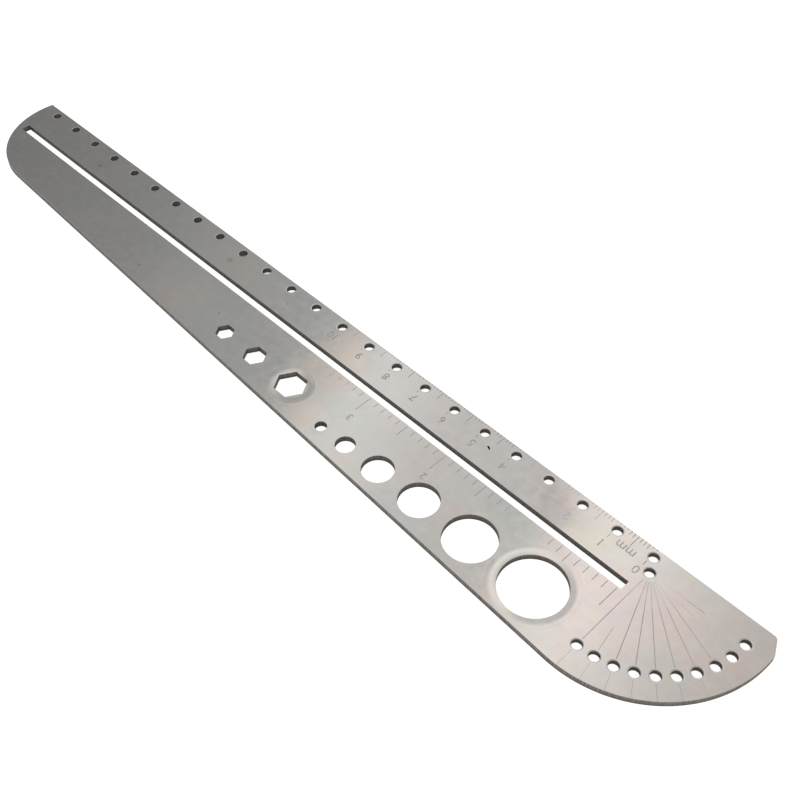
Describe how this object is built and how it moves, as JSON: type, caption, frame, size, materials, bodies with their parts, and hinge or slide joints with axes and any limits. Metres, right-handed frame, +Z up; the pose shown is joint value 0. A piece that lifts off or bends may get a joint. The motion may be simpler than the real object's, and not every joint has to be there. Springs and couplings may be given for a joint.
{
  "type": "multifunction ruler",
  "caption": "Flat steel plate ruler with marking holes along a scale, a long slot, a fan of angle holes and round and hexagonal gauge openings.",
  "frame": {"origin": "axis of the zero hole of the scale, at the plate's underside", "axes": "+X along the scale towards the narrow far end, +Y from the straight edge towards the slot, +Z up out of the engraved face"},
  "size_m": [0.2688, 0.0374, 0.0018],
  "materials": {
    "steel": "satin stainless sheet, ground flat, with faint stains"
  },
  "bodies": {
    "root": {"ruler_plate": "steel"}
  },
  "joints": []
}
